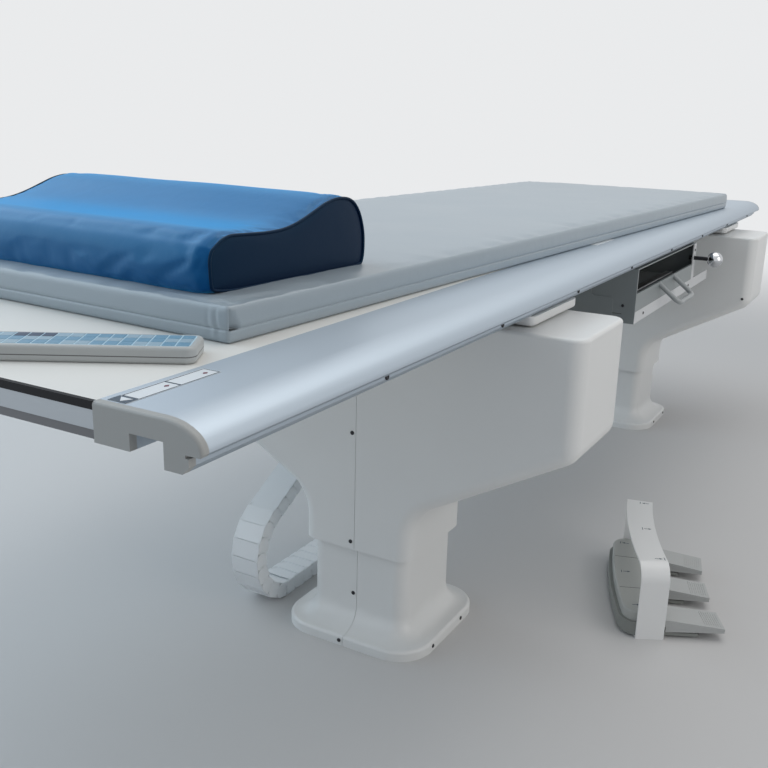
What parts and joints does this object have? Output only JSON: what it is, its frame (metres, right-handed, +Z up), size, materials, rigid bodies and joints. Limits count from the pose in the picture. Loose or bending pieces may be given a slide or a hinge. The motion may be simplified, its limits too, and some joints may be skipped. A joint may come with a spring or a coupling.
{
  "type": "x-ray examination table",
  "caption": "Low x-ray examination table on lifting columns with a floating rail-edged top, image receptor drawer, pillow, mattress, handset and foot switch.",
  "frame": {"origin": "on the floor, midway between the two columns", "axes": "+X along the table away from the pillow, -Y towards the operator, +Y towards the wall, +Z up"},
  "size_m": [2.2, 0.9766, 0.6603],
  "materials": {
    "white_paint": "satin",
    "box_paint": "satin",
    "grey_paint": "satin",
    "handle_grey": "satin",
    "bare_steel": "satin",
    "dark_steel": "satin",
    "glide": "matte",
    "laminate": "satin",
    "grid_black": "matte",
    "aluminium": "satin anodised",
    "cap_grey": "matte",
    "vinyl": "soft satin",
    "pillow_blue": "gloss",
    "shell_grey": "matte",
    "keypad": "matte",
    "chain_white": "matte",
    "chrome": "polished",
    "switch_pale": "matte",
    "pedal_grey": "matte",
    "guard_white": "satin",
    "rubber": "matte"
  },
  "bodies": {
    "floor_stand": {"near_floor_column": "bare_steel", "far_floor_column": "bare_steel", "near_column_cover_operator": "white_paint", "near_column_cover_wall": "white_paint", "far_column_cover_operator": "white_paint", "far_column_cover_wall": "white_paint", "column_cover_screws": "dark_steel", "chain_floor_bracket": "bare_steel", "foot_switch_base": "shell_grey", "foot_switch_cover": "switch_pale", "foot_switch_guard": "guard_white", "foot_switch_pads": "rubber", "pedal_pins": "bare_steel", "energy_chain": "chain_white"},
    "lift_frame": {"near_lifting_column": "bare_steel", "far_lifting_column": "bare_steel", "near_housing_operator": "white_paint", "near_housing_wall": "white_paint", "far_housing_operator": "white_paint", "far_housing_wall": "white_paint", "housing_screws": "dark_steel", "cross_guides": "glide", "frame_beam_operator": "dark_steel", "frame_beam_wall": "dark_steel", "chain_lift_bracket": "bare_steel"},
    "cross_carriage": {"near_cross_beam": "bare_steel", "far_cross_beam": "bare_steel", "near_roller_box_operator": "box_paint", "near_roller_box_wall": "box_paint", "far_roller_box_operator": "box_paint", "far_roller_box_wall": "box_paint", "glide_shoes": "glide"},
    "table_top": {"laminate_panel": "laminate", "edge_strips": "grid_black", "end_profiles": "aluminium", "rail_operator": "aluminium", "rail_wall": "aluminium", "end_caps": "cap_grey", "rail_screws": "dark_steel", "mattress": "vinyl", "pillow": "pillow_blue", "handset_lower_shell": "shell_grey", "handset_upper_shell": "shell_grey", "handset_keypad": "keypad"},
    "bucky": {"bucky_housing": "grey_paint", "bucky_grid": "grid_black", "bucky_front_frame": "box_paint", "bucky_side_cover": "grey_paint", "bucky_runners": "grey_paint"},
    "tray": {"tray": "grey_paint", "tray_handle": "handle_grey"},
    "front_jaw": {"tray_jaw_front": "bare_steel"},
    "back_jaw": {"tray_jaw_back": "bare_steel"},
    "lock_knob": {"lock_stem": "dark_steel", "lock_ball": "chrome"},
    "pedal_near": {"pedal_near": "pedal_grey"},
    "pedal_middle": {"pedal_middle": "pedal_grey"},
    "pedal_far": {"pedal_far": "pedal_grey"}
  },
  "joints": [
    {"name": "table_lift", "type": "slide", "parent": "floor_stand", "child": "lift_frame", "axis": [0, 0, 1], "range_m": [-0.02, 0.28], "deforming": ["energy_chain"]},
    {"name": "cross_float", "type": "slide", "parent": "lift_frame", "child": "cross_carriage", "axis": [0, 1, 0], "range_m": [-0.255, 0.005]},
    {"name": "long_float", "type": "slide", "parent": "cross_carriage", "child": "table_top", "axis": [1, 0, 0], "range_m": [-0.204, 0.596]},
    {"name": "bucky_travel", "type": "slide", "parent": "lift_frame", "child": "bucky", "axis": [1, 0, 0], "range_m": [-0.3, 0.12]},
    {"name": "tray_pull", "type": "slide", "parent": "bucky", "child": "tray", "axis": [0, -1, 0], "range_m": [0, 0.3]},
    {"name": "front_jaw_slide", "type": "slide", "parent": "tray", "child": "front_jaw", "axis": [0, 1, 0], "range_m": [0, 0.1]},
    {"name": "back_jaw_slide", "type": "slide", "parent": "tray", "child": "back_jaw", "axis": [0, 1, 0], "range_m": [-0.1, 0]},
    {"name": "lock_turn", "type": "hinge", "parent": "bucky", "child": "lock_knob", "pos_m": [0.245, -0.276, 0.476], "axis": [0, -1, 0], "range_deg": [-10, 120]},
    {"name": "pedal_near_press", "type": "hinge", "parent": "floor_stand", "child": "pedal_near", "pos_m": [-0.43208, -0.36589, 0.026], "axis": [0.8942, 0.4477, 0], "range_deg": [0, 6], "stiffness_Nm_per_rad": 12, "springref_deg": -5.73},
    {"name": "pedal_middle_press", "type": "hinge", "parent": "floor_stand", "child": "pedal_middle", "pos_m": [-0.33513, -0.32384, 0.026], "axis": [0.9379, 0.3469, 0], "range_deg": [0, 6], "stiffness_Nm_per_rad": 12, "springref_deg": -5.73},
    {"name": "pedal_far_press", "type": "hinge", "parent": "floor_stand", "child": "pedal_far", "pos_m": [-0.23416, -0.29268, 0.026], "axis": [0.9703, 0.242, 0], "range_deg": [0, 6], "stiffness_Nm_per_rad": 12, "springref_deg": -5.73}
  ],
  "couplings": [
    {"joint": "back_jaw_slide", "follows": "front_jaw_slide", "ratio": -1}
  ]
}
